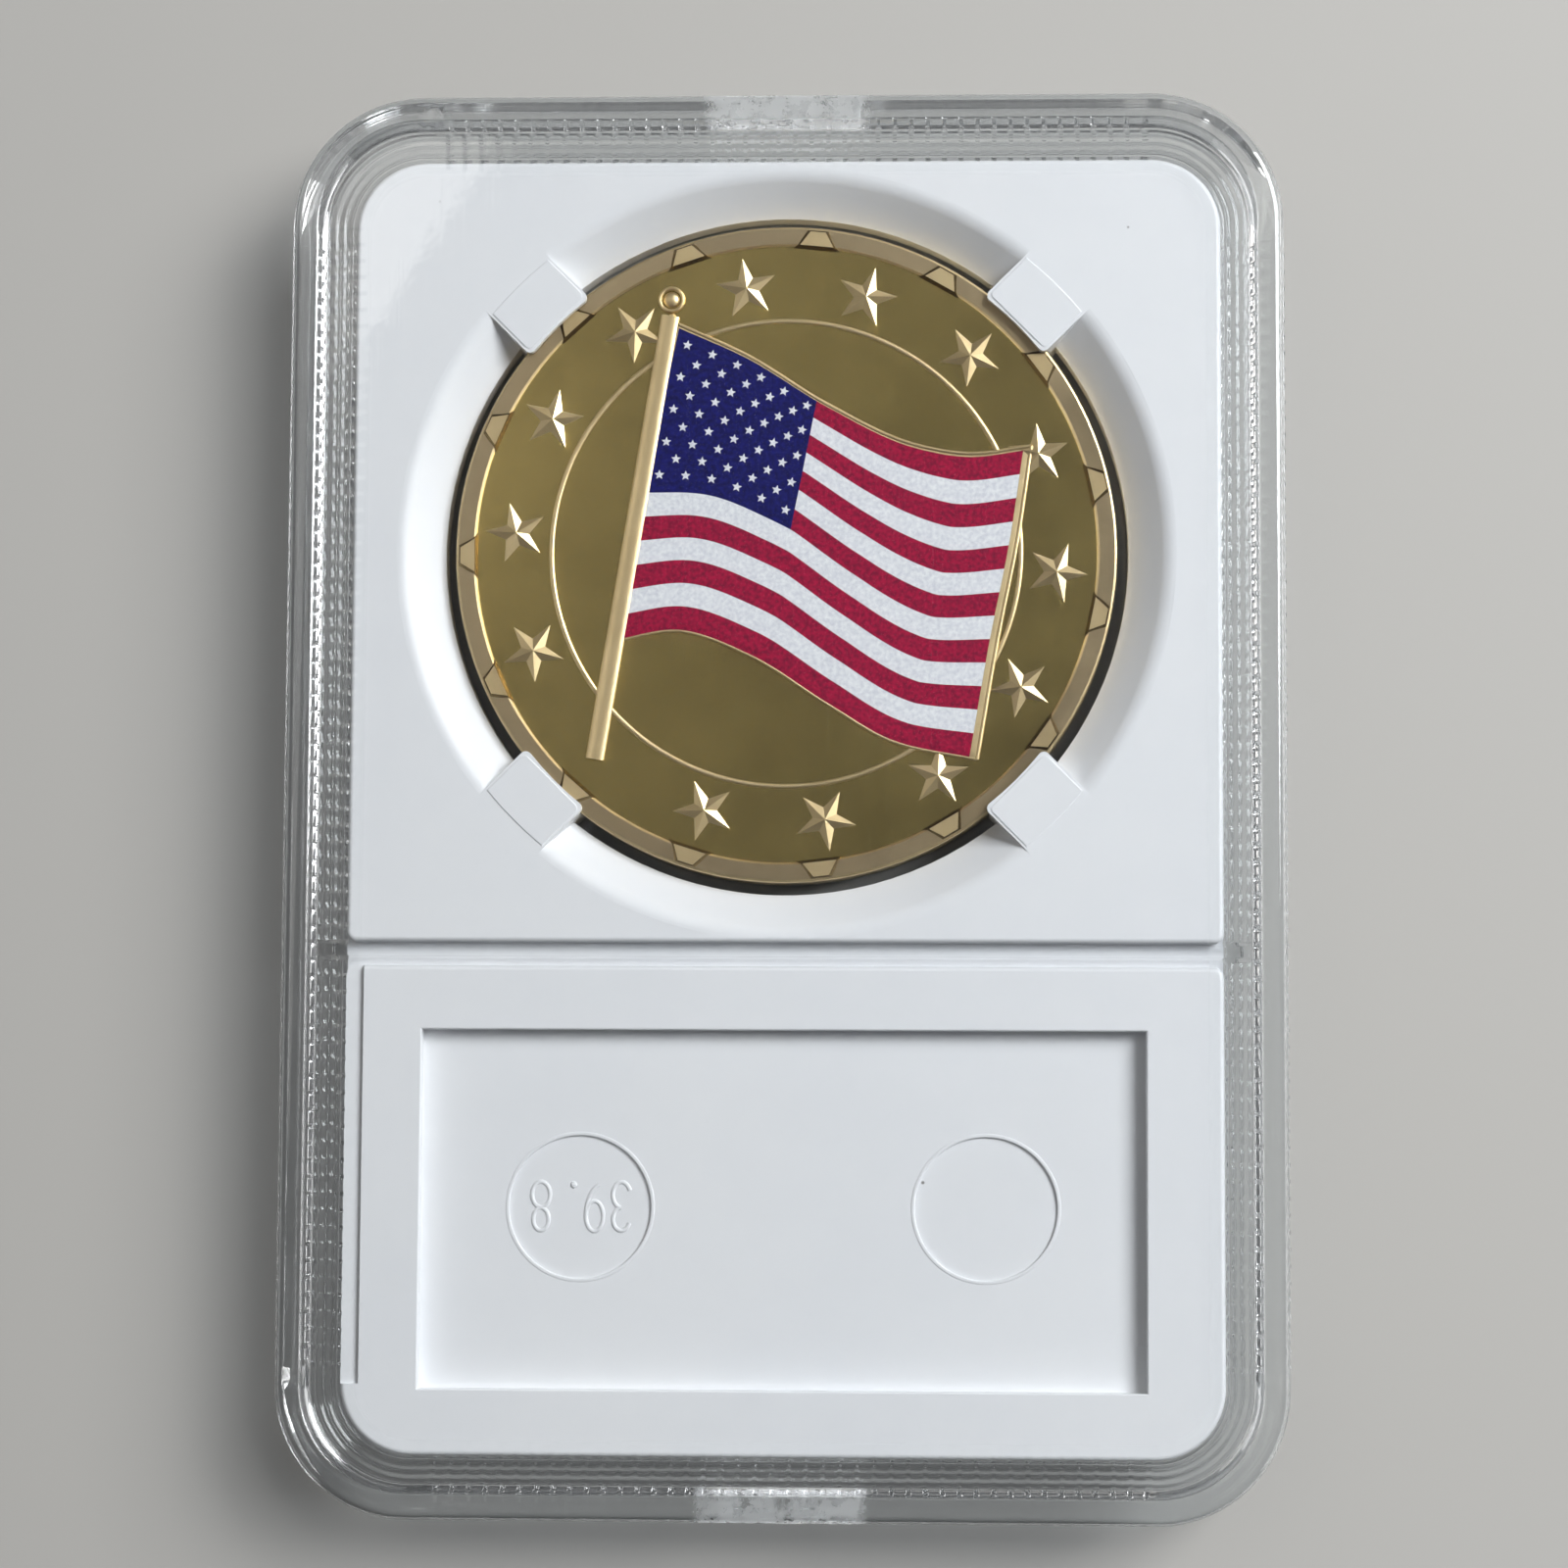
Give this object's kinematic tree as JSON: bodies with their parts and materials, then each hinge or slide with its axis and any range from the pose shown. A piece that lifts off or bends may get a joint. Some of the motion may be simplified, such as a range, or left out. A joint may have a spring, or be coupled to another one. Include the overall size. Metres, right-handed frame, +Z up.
{
  "type": "coin slab",
  "caption": "Clear snap-together coin slab: half shells closed round a white pronged insert that holds a coin with a flag above a recess for a label.",
  "frame": {"origin": "under the middle of the slab, on the surface it lies on", "axes": "+Z up out of the front window, +Y along the slab towards the coin's end, +X to the right seen from the front"},
  "size_m": [0.0604, 0.0856, 0.009],
  "materials": {
    "clear_rear": "clear gloss polystyrene",
    "clear_front": "clear gloss polystyrene",
    "white_insert": "fine matt, white",
    "coin_brass": "struck brass, aged, proof-like field"
  },
  "bodies": {
    "rear": {"rear_shell": "clear_rear"},
    "front": {"front_shell": "clear_front"},
    "core": {"insert": "white_insert"},
    "coin": {"coin": "coin_brass"}
  },
  "joints": [
    {"name": "front_shell_lift", "type": "slide", "parent": "rear", "child": "front", "axis": [0, 0, 1], "range_m": [0, 0.03]},
    {"name": "insert_lift", "type": "slide", "parent": "rear", "child": "core", "axis": [0, 0, 1], "range_m": [0, 0.02]},
    {"name": "coin_lift", "type": "slide", "parent": "rear", "child": "coin", "axis": [0, 0, 1], "range_m": [0, 0.01]}
  ],
  "couplings": [
    {"joint": "insert_lift", "follows": "front_shell_lift", "ratio": 0.6666},
    {"joint": "coin_lift", "follows": "front_shell_lift", "ratio": 0.3333}
  ]
}
